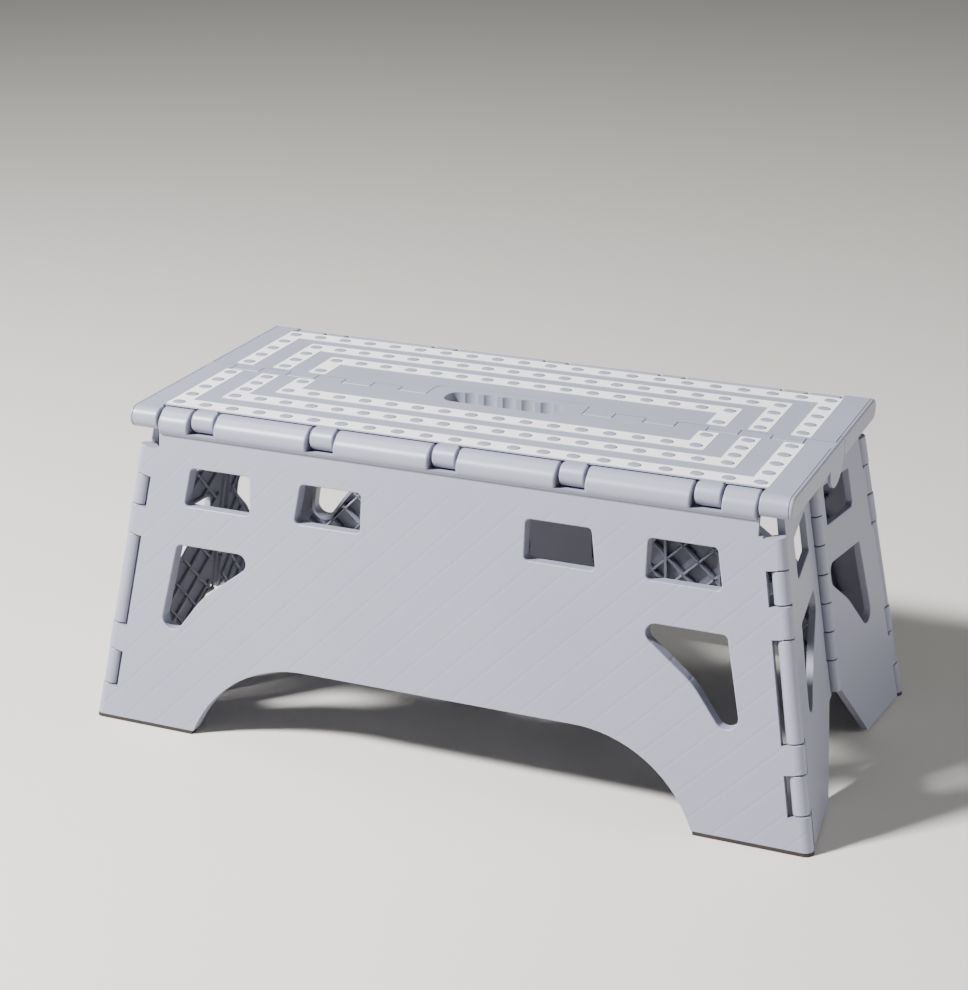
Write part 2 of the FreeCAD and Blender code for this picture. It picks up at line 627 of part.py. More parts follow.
def panel_windows():
    upper = [(23.0, 159.9, 1.5), (69.6, 157.3, 4), (68.4, 184.0, 2), (22.8, 186.8, 2)]
    triangle = [(20.2, 134.0, 5.5), (20.2, 120.2, 6), (45.0, 100.5, 60), (85.7, 53.3, 8.3), (74.3, 130.4, 2)]
    return [rounded_wire(upper), rounded_wire(triangle)]


def end_half(own_knuckles, bore_radius):
    """One end-panel half, drawn as the right rear one. own_knuckles: 0 even or 1 odd stations."""
    windows = panel_windows()
    side_gap = SIDE_KNUCKLE_RADIUS + 1.2
    fold_edge = 2.2
    low = -4.0
    high = 215.0
    outline = [(fold_edge, PANEL_ARCH, 0), (12.3, PANEL_ARCH, 2), (51.0, 5.0, 4), (58, low, 0),
               (panel_side(low) - side_gap, low, 0), (panel_side(high) - side_gap, high, 0),
               (fold_edge, high, 0)]
    wire = rounded_wire(outline)
    skin = plate(wire, -PLATE_SKIN, 0)
    skin = less(skin, [plate(window, -20, 20) for window in windows])
    skin = skin.makeFillet(0.7, window_edges(skin, 0, windows))
    rims = []
    for window in windows:
        rim = plate(window.makeOffset2D(2.0), -PLATE_THICK, -PLATE_SKIN + 0.1)
        rims.append(less(rim, [plate(window, -20, 20)]))
    edge_rim = plate(wire, -PLATE_THICK, -PLATE_SKIN + 0.1)
    edge_rim = less(edge_rim, [plate(wire.makeOffset2D(-2.2), -20, 20)])
    rims.append(edge_rim)
    parts = [skin] + rims

    clip_cores = []
    mouths = []
    inward = Vector(-1, -PANEL_SPREAD, 0).normalize()
    for clip_low, clip_high in SIDE_CLIPS:
        bottom = panel_up(clip_low + HINGE_GAP)
        top = panel_up(clip_high - HINGE_GAP)
        tab_low, tab_high = bottom + 0.8, top - 0.8
        tab = squared_tab(Vector(panel_side(tab_low), tab_low, 0), Vector(panel_side(tab_high), tab_high, 0),
                          inward, side_gap + 2)
        parts.append(plate(rounded_wire(tab), -PLATE_THICK, 0))
        mouth = [(panel_side(bottom) - 2.2, bottom - 1, 0), (panel_side(bottom) + 2.2, bottom - 1, 0),
                 (panel_side(top) + 2.2, top + 1, 0), (panel_side(top) - 2.2, top + 1, 0)]
        mouths.append(plate(rounded_wire(mouth), -14, -PLATE_THICK / 2))
        start = rear_side_point(clip_low + HINGE_GAP)
        stop = rear_side_point(clip_high - HINGE_GAP)
        clip_cores.append(rod(SIDE_CLIP_RADIUS, start, stop, 0.7))
    solid = placed(joined(parts), PLATE_FRAME)
    mouths = [placed(mouth, PLATE_FRAME) for mouth in mouths]

    knuckles = []
    notches = []
    for index in range(len(FOLD_STATIONS) - 1):
        start, stop = FOLD_STATIONS[index], FOLD_STATIONS[index + 1]
        gap = 0.35
        if index % 2 == own_knuckles:
            knuckles.append(rod(FOLD_KNUCKLE_RADIUS, fold_point(start + gap), fold_point(stop - gap), 0.4))
            tab = [(0.5, start + gap, 0), (9, start + gap, 0), (9, stop - gap, 0), (0.5, stop - gap, 0)]
            tab = plate(rounded_wire(tab), -PLATE_THICK + 2.4, 0)
            knuckles.append(placed(tab, PLATE_FRAME))
        else:
            deep = FOLD_KNUCKLE_RADIUS + 0.9 if start > 90 else FOLD_KNUCKLE_RADIUS + 2.6
            notches.append(rod(deep, fold_point(start - gap), fold_point(stop + gap)))
            room = [(-10, start - gap, 0), (3.5, start - gap, 0), (3.5, stop + gap, 0), (-10, stop + gap, 0)]
            notches.append(placed(plate(rounded_wire(room), -20, 20), PLATE_FRAME))
    solid = solid.cut(notches)
    solid = joined([solid] + knuckles + clip_cores)
    bores = [rod(SIDE_BAR_RADIUS + RUNNING_FIT, rear_side_point(0), rear_side_point(200))]
    bores.append(rod(bore_radius, fold_point(40), fold_point(220)))
    solid = solid.cut(bores + mouths)
    slab = box((100, -10, PANEL_FOOT), (300, 200, PANEL_TOP))
    return solid.common(slab).removeSplitter()


def fold_pin():
    """Steel pin of the right folding hinge."""
    return rod(FOLD_PIN_RADIUS, fold_point(56), fold_point(201))


def centre_pin():
    """Steel pin of the middle hinge, to the right of the handle."""
    return rod_x(CENTRE_PIN_RADIUS, 56.5, 221.5, 0, CENTRE_AXIS_Z)


# ---- the assembly ----------------------------------------------------------------------

def build():
    leg = leg_front()
    pad = foot_pad()
    panel_front = across(end_half(0, FOLD_PIN_RADIUS))
    panel_rear = end_half(1, FOLD_BORE_RADIUS)
    nodes = {
        "top_front": top_front(),
        "top_rear": top_rear(),
        "leg_front": leg,
        "leg_rear": half_turn(leg),
        "end_right_front": panel_front,
        "end_right_rear": panel_rear,
        "end_left_rear": half_turn(panel_front),
        "end_left_front": half_turn(panel_rear),
        "foot_front_right": pad,
        "foot_front_left": pad.mirror(Vector(0, 0, 0), Vector(1, 0, 0)),
        "foot_rear_right": across(pad),
        "foot_rear_left": half_turn(pad),
        "centre_pin_right": centre_pin(),
        "centre_pin_left": centre_pin().mirror(Vector(0, 0, 0), Vector(1, 0, 0)),
        "end_pin_right": fold_pin(),
        "end_pin_left": half_turn(fold_pin()),
    }
    for band in GRIP_BANDS:
        nodes["grip_front_" + band] = grip_strip("front", band)
        nodes["grip_rear_" + band] = across(grip_strip("rear", band))
    return nodes


os.makedirs("parts", exist_ok=True)
for name, shape in build().items():
    shape.exportStep("parts/" + name + ".step")
    extent = shape.BoundBox
    print(name, "solids", len(shape.Solids), "volume", round(shape.Volume), "valid", shape.isValid(),
          "x", round(extent.XMin, 1), round(extent.XMax, 1),
          "y", round(extent.YMin, 1), round(extent.YMax, 1),
          "z", round(extent.ZMin, 1), round(extent.ZMax, 1))
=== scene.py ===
# %% [markdown]
# # A folding step stool in moulded plastic
# The stool is a row of flat mouldings hinged to each other. Its solids come from the CAD model and
# stay as they are. This lesson gives them their plastic, rubber and steel, and adds what moulded
# panels have and plain solids lack: the lattice of thin ribs behind every wall, and the low studs
# that stand in the grip bands.

# %% Load the frame
import json
import math

import bpy
from mathutils import Matrix, Vector


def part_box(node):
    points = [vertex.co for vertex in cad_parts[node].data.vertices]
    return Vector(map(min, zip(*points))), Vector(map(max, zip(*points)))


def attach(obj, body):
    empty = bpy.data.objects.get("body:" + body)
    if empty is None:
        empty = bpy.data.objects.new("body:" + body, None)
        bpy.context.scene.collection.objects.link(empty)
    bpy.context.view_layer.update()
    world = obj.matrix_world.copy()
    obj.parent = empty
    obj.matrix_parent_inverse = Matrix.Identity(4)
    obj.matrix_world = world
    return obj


MM = 0.001

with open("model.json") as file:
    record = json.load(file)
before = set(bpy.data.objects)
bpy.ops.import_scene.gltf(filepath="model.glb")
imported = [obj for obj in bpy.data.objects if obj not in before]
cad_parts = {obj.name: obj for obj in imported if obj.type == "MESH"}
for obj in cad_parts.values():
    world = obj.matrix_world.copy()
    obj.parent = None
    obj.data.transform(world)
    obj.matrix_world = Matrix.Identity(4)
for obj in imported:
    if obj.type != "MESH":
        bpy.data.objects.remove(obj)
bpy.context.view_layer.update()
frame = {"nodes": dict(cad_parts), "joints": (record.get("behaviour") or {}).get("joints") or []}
nodes = frame["nodes"]
joints = {joint["name"]: joint for joint in frame["joints"]}
print("CAD nodes:", len(nodes), "joints:", len(joints))

# %% [markdown]
# ## Three small helpers
# Shader colours are linear, while a colour picker shows sRGB, so one function turns the hex value
# of a colour into linear numbers. A second one adds a node to a tree with its settings and its
# inputs, where an input is either a value or another node's output. A third starts a material with
# an empty tree. The Mix node has sockets for numbers, vectors and colours under the same names, so
# its two colour inputs and its colour output are picked by number.


# %% Colour and node helpers
def linear(hex_colour):
    """Linear RGBA of an sRGB hex colour such as 'B0B3BB'."""
    channels = [int(hex_colour[place:place + 2], 16) / 255 for place in (0, 2, 4)]
    bent = [c / 12.92 if c <= 0.04045 else ((c + 0.055) / 1.055) ** 2.4 for c in channels]
    return (*bent, 1.0)


def add_node(tree, kind, inputs=None, **settings):
    """Adds a node, sets its properties, and sets or links its inputs."""
    made = tree.nodes.new(kind)
    for name, value in settings.items():
        setattr(made, name, value)
    for name, value in (inputs or {}).items():
        if isinstance(value, bpy.types.NodeSocket):
            tree.links.new(value, made.inputs[name])
        else:
            made.inputs[name].default_value = value
    return made


COLOUR_A = 6
COLOUR_B = 7
MIXED_COLOUR = 2


def new_material(name):
    """An empty material and its tree."""
    material = bpy.data.materials.new(name)
    material.use_nodes = True
    material.node_tree.nodes.clear()
    return material, material.node_tree


# %% [markdown]
# ## Moulded polypropylene
# Stools of this kind are usually injection moulded from polypropylene, in a mould with lightly
# spark-eroded walls, and this one is taken to be too. That gives a satin surface: no mirror gloss,
# but a soft sheen along every rounded edge. Such a grain is about a third of a millimetre; it is
# drawn at a millimetre here so that it shows at all. Behind thin walls the ribs pull the plastic in
# slightly as it cools. On the legs these sink marks show as faint lines at 45 degrees, about one
# for each rib. Both patterns are bump, because neither is deep enough to change an outline.

# %% Body plastic
GRAIN = 1.1 * MM
GRAIN_DEPTH = 0.05 * MM
BODY_CLOUDS = 14.0              # patches of slightly uneven colour, per metre
RIB_PITCH = 16.5 * MM
SINK_WIDTH = 0.10               # share of the pitch that a sink mark takes
SINK_DEPTH = 0.11 * MM
SINK_SLANTS = ((-math.pi / 4, 1.0), (math.pi / 4, 0.2))     # angle of each set of ribs, and how strong
SINK_TOP = 194 * MM             # the hinge barrels above this have no ribs behind them
POLYPROPYLENE_IOR = 1.49


def sink_mark_height(tree, place, slant):
    """Height of the sink marks of ribs at one slant, from -1 in a mark's middle to 0."""
    turned = add_node(tree, "ShaderNodeMapping", {"Vector": place, "Rotation": (0, slant, 0)})
    split = add_node(tree, "ShaderNodeSeparateXYZ", {"Vector": turned.outputs[0]})
    rows = add_node(tree, "ShaderNodeMath", {0: split.outputs["X"], 1: RIB_PITCH}, operation="DIVIDE")
    share = add_node(tree, "ShaderNodeMath", {0: rows.outputs[0], 1: 0.5}, operation="PINGPONG")
    mark = add_node(tree, "ShaderNodeMapRange",
                    {"Value": share.outputs[0], "From Min": 0.0, "From Max": SINK_WIDTH,
                     "To Min": -1.0, "To Max": 0.0}, interpolation_type="SMOOTHSTEP")
    return mark.outputs[0]


def moulded_polypropylene(name, shade, sink_marks=False):
    """Satin moulded polypropylene, with sink marks over the ribs where asked."""
    material, tree = new_material(name)
    place = add_node(tree, "ShaderNodeTexCoord").outputs["Object"]
    clouds = add_node(tree, "ShaderNodeTexNoise", {"Vector": place, "Scale": BODY_CLOUDS, "Detail": 3.0})
    light, dark = shade
    colour = add_node(tree, "ShaderNodeMix",
                      {"Factor": clouds.outputs[0], COLOUR_A: linear(dark), COLOUR_B: linear(light)},
                      data_type="RGBA")
    grain = add_node(tree, "ShaderNodeTexNoise", {"Vector": place, "Scale": 1 / GRAIN, "Detail": 2.0})
    bump = add_node(tree, "ShaderNodeBump",
                    {"Height": grain.outputs[0], "Distance": GRAIN_DEPTH, "Strength": 1.0})
    if sink_marks:
        height_up = add_node(tree, "ShaderNodeSeparateXYZ", {"Vector": place}).outputs["Z"]
        in_panel = add_node(tree, "ShaderNodeMapRange", {"Value": height_up, "From Min": SINK_TOP,
                                                         "From Max": SINK_TOP - 3 * MM})
        for slant, strength in SINK_SLANTS:
            mark = sink_mark_height(tree, place, slant)
            height = add_node(tree, "ShaderNodeMath", {0: mark, 1: in_panel.outputs[0]},
                              operation="MULTIPLY").outputs[0]
            bump = add_node(tree, "ShaderNodeBump", {"Height": height, "Distance": SINK_DEPTH * strength,
                                                     "Strength": 1.0, "Normal": bump.outputs[0]})
    gloss = add_node(tree, "ShaderNodeMapRange",
                     {"Value": clouds.outputs[0], "To Min": 0.36, "To Max": 0.46})
    shader = add_node(tree, "ShaderNodeBsdfPrincipled",
                      {"Base Color": colour.outputs[MIXED_COLOUR], "Roughness": gloss.outputs[0],
                       "IOR": POLYPROPYLENE_IOR, "Normal": bump.outputs[0]})
    add_node(tree, "ShaderNodeOutputMaterial", {"Surface": shader.outputs[0]})
    return material


BODY_SHADE = ("989AAB", "9092A3")
body_plastic = moulded_polypropylene("moulded_polypropylene_grey", BODY_SHADE)
leg_plastic = moulded_polypropylene("moulded_polypropylene_grey_sink_marked", BODY_SHADE, sink_marks=True)
print("body plastics:", body_plastic.name, leg_plastic.name)

# %% [markdown]
# ## Grip bands, feet and pins
# The bands are taken to be a soft white thermoplastic rubber in grooves of the top: matt, slightly
# sheeny, never glossy. The feet are black-brown rubber, matt all over. The pins are taken to be
# drawn steel wire. They sit inside the hinges and hardly show.


# %% Other finishes
SMALL_CLOUDS = 60.0             # smaller patches, per metre


def plain_finish(name, light, dark, roughness, grain_depth, metallic=0.0, ior=1.5):
    """A finish with a little unevenness in colour and a fine grain."""
    material, tree = new_material(name)
    place = add_node(tree, "ShaderNodeTexCoord").outputs["Object"]
    clouds = add_node(tree, "ShaderNodeTexNoise", {"Vector": place, "Scale": SMALL_CLOUDS, "Detail": 4.0})
    colour = add_node(tree, "ShaderNodeMix",
                      {"Factor": clouds.outputs[0], COLOUR_A: linear(dark), COLOUR_B: linear(light)},
                      data_type="RGBA")
    grain = add_node(tree, "ShaderNodeTexNoise", {"Vector": place, "Scale": 1 / GRAIN, "Detail": 2.0})
    bump = add_node(tree, "ShaderNodeBump",
                    {"Height": grain.outputs[0], "Distance": grain_depth, "Strength": 1.0})
    shader = add_node(tree, "ShaderNodeBsdfPrincipled",
                      {"Base Color": colour.outputs[MIXED_COLOUR], "Roughness": roughness,
                       "Metallic": metallic, "IOR": ior, "Normal": bump.outputs[0]})
    add_node(tree, "ShaderNodeOutputMaterial", {"Surface": shader.outputs[0]})
    return material


band_rubber = plain_finish("moulded_thermoplastic_rubber_white", "F4F4F5", "ECECEE", 0.55, 0.04 * MM)
foot_rubber = plain_finish("moulded_rubber_foot_dark", "332C29", "231D1B", 0.75, 0.12 * MM)
pin_steel = plain_finish("drawn_steel_wire", "A9A9A8", "8E8E8D", 0.32, 0.01 * MM, metallic=1.0)

for name, node in nodes.items():
    if name.startswith("grip"):
        finish = band_rubber
    elif name.startswith("foot"):
        finish = foot_rubber
    elif "pin" in name:
        finish = pin_steel
    elif name.startswith("leg"):
        finish = leg_plastic
    else:
        finish = body_plastic
    node.data.materials.clear()
    node.data.materials.append(finish)
print("finished nodes:", len(nodes))

# %% [markdown]
# ## Where the panels lie
# Each leg is a flat plate that leans, and each end is a pair of flat plates that lean another way.
# A rib lattice is easiest to draw flat, so each panel gets a matrix that carries flat drawing
# coordinates (across, up, out) to the stool. The matrices follow from the hinge lines in the
# record: a leg's plane holds the length of the stool and its side hinge, and an end panel's plane
# holds the side hinge and the folding hinge, which meet above the stool.

# %% Panel frames
SIDE_HINGE = joints["right_front_end_hinge"]
FOLD_HINGE_POINT = Vector((0.2231, 0, 0.1136))     # a point of the line that an end folds along
END_SET_BACK = -2.3 * MM        # face of an end panel, measured out from that line
END_TURN = math.radians(3.6)    # the face is turned by this about the line

hinge_up = Vector(SIDE_HINGE["axis"]).normalized()
hinge_at = Vector(SIDE_HINGE["pos_m"])


def flat_frame(origin, across, up):
    """Matrix from flat (across, up, out) to the stool."""
    out = across.cross(up)
    return Matrix.Translation(origin) @ Matrix((across, up, out)).transposed().to_4x4()


leg_up = Vector((0, hinge_up.y, hinge_up.z)).normalized()
hinge_foot = hinge_at - hinge_up * (hinge_at.z / hinge_up.z)
front_leg_frame = flat_frame(Vector((0, hinge_foot.y, 0)), Vector((1, 0, 0)), leg_up)

apex = hinge_at - hinge_up * (hinge_at.y / hinge_up.y)
fold_up = (apex - FOLD_HINGE_POINT).normalized()
fold_foot = apex - fold_up * (apex.z / fold_up.z)
rear_hinge_foot = Vector((hinge_foot.x, -hinge_foot.y, 0))
end_out = (rear_hinge_foot - fold_foot).cross(fold_up).normalized()
end_across = fold_up.cross(end_out)
end_width_slope = math.tan(fold_up.angle((apex - rear_hinge_foot).normalized())) / math.cos(END_TURN)
plate_across = end_across * math.cos(END_TURN) + end_out * math.sin(END_TURN)
right_rear_end_frame = flat_frame(fold_foot + end_out * END_SET_BACK, plate_across, fold_up)
print("leg leans", round(math.degrees(math.asin(leg_up.y)), 2), "degrees; hinge lines meet at", apex)

# %% [markdown]
# ## The lattice of ribs
# A thin flat panel bends easily. Ribs a few millimetres deep, crossing at 45 degrees, make it stiff
# for little plastic. A lattice could be modelled rib by rib, but its rule is simple: parallel lines
# both ways, each cut where it meets the panel's edge or a window. So a short function cuts the
# lines, and Geometry Nodes give every line its thickness and depth. Thickness and depth stay named
# inputs of the tree, so one tree serves every panel.


# %% Cutting lines to an outline
def lattice_lines(outline, windows, pitch):
    """Ends of the lattice's lines, inside the outline and outside the windows, in flat millimetres."""
    loops = [[Vector(corner) for corner in loop] for loop in [outline, *windows]]
    lines = []
    for along in (Vector((1, 1)).normalized(), Vector((1, -1)).normalized()):
        across = Vector((-along.y, along.x))
        offsets = [corner.dot(across) for corner in loops[0]]
        for row in range(math.ceil(min(offsets) / pitch), math.floor(max(offsets) / pitch) + 1):
            crossings = []
            for loop in loops:
                for start, stop in zip(loop, loop[1:] + loop[:1]):
                    before = start.dot(across) - row * pitch
                    after = stop.dot(across) - row * pitch
                    if (before < 0) != (after < 0):
                        crossings.append(start.lerp(stop, before / (before - after)).dot(along))
            crossings.sort()
            for low, high in zip(crossings[::2], crossings[1::2]):
                if high - low > 2 * RIB_THICK:
                    lines.append([across * row * pitch + along * reach for reach in (low, high)])
    return lines


RIB_THICK = 1.6
square = [(0, 0), (60, 0), (60, 60), (0, 60)]
small_square = [(20, 20), (40, 20), (40, 40), (20, 40)]
print("lines in a 60 mm square with a 20 mm window:", len(lattice_lines(square, [small_square], 10)))


# %% A node tree that turns lines into ribs
def tree_with_inputs(name, inputs):
    """An empty Geometry Nodes tree with a mesh input and named inputs, and its input and output nodes."""
    tree = bpy.data.node_groups.new(name, "GeometryNodeTree")
    tree.interface.new_socket("Mesh", in_out="INPUT", socket_type="NodeSocketGeometry")
    for label, kind in inputs:
        tree.interface.new_socket(label, in_out="INPUT", socket_type=kind)
    tree.interface.new_socket("Mesh", in_out="OUTPUT", socket_type="NodeSocketGeometry")
    return tree, add_node(tree, "NodeGroupInput")


def rib_tree():
    """Gives each edge of a flat mesh a rectangular section that stands upright in Z."""
    tree, given = tree_with_inputs("ribs_along_lines", [("Thickness", "NodeSocketFloat"),
                                                       ("Depth", "NodeSocketFloat"),
                                                       ("Finish", "NodeSocketMaterial")])
    lines = add_node(tree, "GeometryNodeMeshToCurve", {"Mesh": given.outputs["Mesh"]})
    upright = add_node(tree, "GeometryNodeSetCurveNormal", {"Curve": lines.outputs[0]}, mode="Z_UP")
    section = add_node(tree, "GeometryNodeCurvePrimitiveQuadrilateral",
                       {"Width": given.outputs["Thickness"], "Height": given.outputs["Depth"]})
    ribs = add_node(tree, "GeometryNodeCurveToMesh",
                    {"Curve": upright.outputs[0], "Profile Curve": section.outputs[0], "Fill Caps": True})
    real = add_node(tree, "GeometryNodeRealizeInstances", {"Geometry": ribs.outputs[0]})
    painted = add_node(tree, "GeometryNodeSetMaterial",
                       {"Geometry": real.outputs[0], "Material": given.outputs["Finish"]})
    add_node(tree, "NodeGroupOutput", {"Mesh": painted.outputs[0]})
    return tree


def plain_mesh_from(name, mesh, tree, inputs, matrix):
    """Runs a tree on a mesh and leaves a plain object whose place is in its mesh."""
    source = bpy.data.objects.new(name, mesh)
    bpy.context.scene.collection.objects.link(source)
    modifier = source.modifiers.new("made", "NODES")
    modifier.node_group = tree
    for item in tree.interface.items_tree:
        if item.in_out == "INPUT" and item.name in inputs:
            modifier[item.identifier] = inputs[item.name]
    graph = bpy.context.evaluated_depsgraph_get()
    result = bpy.data.meshes.new_from_object(source.evaluated_get(graph))
    source.modifiers.remove(modifier)
    source.data = result
    result.transform(matrix)
    result.name = name
    return source


RIBS = rib_tree()


def rib_lattice(name, body, outline, windows, back, front, matrix, turn=Matrix.Identity(4)):
    """A panel's lattice between two depths (millimetres out of the flat frame), riding on its body."""
    lines = lattice_lines(outline, windows, RIB_PITCH / MM)
    middle = (back + front) / 2
    corners = [(end.x, end.y, middle) for line in lines for end in line]
    mesh = bpy.data.meshes.new(name)
    mesh.from_pydata(corners, [(i, i + 1) for i in range(0, len(corners), 2)], [])
    inputs = {"Thickness": RIB_THICK, "Depth": front - back, "Finish": body_plastic}
    lattice = plain_mesh_from(name, mesh, RIBS, inputs, turn @ matrix @ Matrix.Scale(MM, 4))
    if turn.determinant() < 0:
        lattice.data.flip_normals()
    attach(lattice, body)
    print(name, "ribs:", len(lines), "faces:", len(lattice.data.polygons))
    return lattice


HALF_TURN = Matrix.Rotation(math.pi, 4, "Z")
ACROSS = Matrix.Scale(-1, 4, (0, 1, 0))

# %% [markdown]
# ## Ribs of the legs
# The lattice of a leg stops short of its windows, its arch and the strip along each side that the
# end panels fold into. Each window is drawn here with the width of its rim around it, and only on
# the right, since a leg is the same left and right. The leg behind is the same moulding turned
# half round.

# %% Leg lattices
ARCH_MIDDLE = (95.0, -30.2)
ARCH_RIB_RADIUS = 90.5
LEG_RIB_TOP = 193.0
LEG_RIB_FOOT = 5.0
FOLD_ROOM = 28.6                # the strip that the end panel folds into
ARCH_STEPS = 8
LEG_RIB_DEPTHS = (-3.1, 2.85)


def leg_side(up):
    """Distance across from a leg's middle line to its side hinge, in millimetres."""
    point = hinge_foot + hinge_up * (up * MM / hinge_up.dot(leg_up))
    return point.x / MM


def both_sides(corners):
    """Corners of the right half of an outline, and of its image on the left."""
    return corners + [(-across, up) for across, up in reversed(corners)]


arch_start = math.asin((LEG_RIB_FOOT - ARCH_MIDDLE[1]) / ARCH_RIB_RADIUS)
arch_angles = [math.pi / 2 + (arch_start - math.pi / 2) * step / ARCH_STEPS for step in range(ARCH_STEPS + 1)]
arch = [(ARCH_MIDDLE[0] + ARCH_RIB_RADIUS * math.cos(angle),
         ARCH_MIDDLE[1] + ARCH_RIB_RADIUS * math.sin(angle)) for angle in arch_angles]
leg_outline = both_sides([*arch, (leg_side(LEG_RIB_FOOT) - FOLD_ROOM, LEG_RIB_FOOT),
                          (leg_side(LEG_RIB_TOP) - FOLD_ROOM, LEG_RIB_TOP)])
inner_window = [(54.3, 156.3), (106.0, 156.3), (101.9, 187.5), (54.3, 187.5)]
outer_window = [(134.3, 156.4), (187.6, 156.4), (182.5, 187.2), (134.3, 187.2)]
three_sided_window = [(136.0, 133.8), (192.4, 133.8), (203.2, 80.0), (199.0, 70.8), (187.5, 70.8),
                      (163.0, 101.0), (138.0, 118.0)]
leg_windows = [inner_window, outer_window, three_sided_window]
leg_windows += [[(-across, up) for across, up in window] for window in leg_windows]
PLAIN_FIELD = [(-24.0, 66.0), (24.0, 66.0), (24.0, 128.0), (-24.0, 128.0)]
for name, body, turn in (("ribs_leg_front", "front_leg", Matrix.Identity(4)),
                         ("ribs_leg_rear", "rear_leg", HALF_TURN)):
    rib_lattice(name, body, leg_outline, leg_windows + [PLAIN_FIELD], *LEG_RIB_DEPTHS,
                front_leg_frame, turn)

# %% [markdown]
# ## A plain field inside each leg
# Behind the middle of a leg the lattice leaves a plain raised field. What it is for isn't known,
# and it stays blank. It is a thin plate with rounded corners. A cube with a bevel would do, but the
# corners of a rounded outline, closed into a slab with a face above and one below, give the same
# with fewer faces.

# %% Plain fields
FIELD_CORNER = 3.0
FIELD_LEVELS = (-3.15, 2.85)
FIELD_STEPS = 5


def rounded_outline(corners, radius, steps):
    """Outline of a rectangle (anticlockwise from its low left corner) with rounded corners."""
    rounded = []
    for number, (x, y) in enumerate(corners):
        inward_x = radius if number in (0, 3) else -radius
        inward_y = radius if number in (0, 1) else -radius
        for step in range(steps + 1):
            angle = math.radians(180 + 90 * number + 90 * step / steps)
            rounded.append((x + inward_x + radius * math.cos(angle), y + inward_y + radius * math.sin(angle)))
    return rounded


def slab(name, outline, low, high, matrix):
    """A closed slab over a flat outline, as an object whose place is in its mesh."""
    count = len(outline)
    corners = [(x, y, level) for level in (low, high) for x, y in outline]
    faces = [tuple(reversed(range(count))), tuple(range(count, 2 * count))]
    faces += [(i, (i + 1) % count, count + (i + 1) % count, count + i) for i in range(count)]
    mesh = bpy.data.meshes.new(name)
    mesh.from_pydata(corners, [], faces)
    mesh.transform(matrix)
    made = bpy.data.objects.new(name, mesh)
    bpy.context.scene.collection.objects.link(made)
    return made


for name, body, turn in (("plain_field_front", "front_leg", Matrix.Identity(4)),
                         ("plain_field_rear", "rear_leg", HALF_TURN)):
    field = slab(name, rounded_outline(PLAIN_FIELD, FIELD_CORNER, FIELD_STEPS), *FIELD_LEVELS,
                 turn @ front_leg_frame @ Matrix.Scale(MM, 4))
    field.data.materials.append(body_plastic)
    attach(field, body)
    print(name, "faces:", len(field.data.polygons))

# %% [markdown]
# ## Ribs of the end panels
# An end panel folds flat against a leg, so its ribs are shallow. The outline and the windows of one
# half are drawn once; the other three halves are that one mirrored, turned half round, or both.

# %% End lattices
END_RIB_TOP = 199.0
END_RIB_DEPTHS = (-4.6, -2.35)


def end_side(up):
    """Width of an end panel from its folding hinge to its leg hinge, in millimetres."""
    return ((apex - fold_foot).length / MM - up) * end_width_slope


end_outline = [(8.5, 55.0), (13.0, 55.0), (54.0, 7.0), (end_side(7.0) - 9.5, 7.0),
               (end_side(END_RIB_TOP) - 9.5, END_RIB_TOP), (8.5, END_RIB_TOP)]
end_windows = [[(21.0, 158.0), (71.6, 155.3), (70.4, 186.0), (20.8, 188.8)],
               [(18.2, 136.0), (76.0, 132.4), (84.0, 84.0), (79.0, 71.5), (68.0, 71.5), (46.0, 97.0),
                (34.0, 108.0), (18.2, 119.0)]]
for name, body, turn in (("ribs_end_right_rear", "right_rear_end", Matrix.Identity(4)),
                         ("ribs_end_right_front", "right_front_end", ACROSS),
                         ("ribs_end_left_front", "left_front_end", HALF_TURN),
                         ("ribs_end_left_rear", "left_rear_end", HALF_TURN @ ACROSS)):
    rib_lattice(name, body, end_outline, end_windows, *END_RIB_DEPTHS, right_rear_end_frame, turn)

# %% [markdown]
# ## Ribs under the top
# Under each top half the lattice fills the fields between the main ribs. It keeps clear of the
# handle, which takes the middle of the seam.

# %% Top lattices
top_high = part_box("top_front")[1]
HANDLE_CLEAR = 60.0
TOP_RIB_LEVELS = (212.4, 218.75)
top_half_length = top_high.x / MM
top_outline = both_sides([(0, -84.5), (top_half_length - 3, -84.5), (top_half_length - 3, -12.5),
                          (HANDLE_CLEAR, -12.5), (HANDLE_CLEAR, -19.0)])
for name, body, turn in (("ribs_top_front", "front_top", Matrix.Identity(4)),
                         ("ribs_top_rear", "rear_top", ACROSS)):
    rib_lattice(name, body, top_outline, [], *TOP_RIB_LEVELS, Matrix.Identity(4), turn)

# %% [markdown]
# ## Studs in the grip bands
# Round studs of the grey plastic stand in holes of the white bands. They are all alike and follow
# a row, so they are instances on points: the points are laid out from each band's own box, one row
# along its length and one up each leg of its U, and the tree puts a low dome on each.

# %% Stud tree
STUD_RADIUS = 4.1
STUD_RISE = 0.28
BAND_HALF_WIDTH = 6.6
LAST_STUD = 13.6                # from the seam to the last stud of a leg
BAND_PROUD = 0.3                # a stud starts level with the top, this far under the band's face
STUD_COUNTS = {"outer": (21, 4), "middle": (19, 3), "inner": (16, 1)}


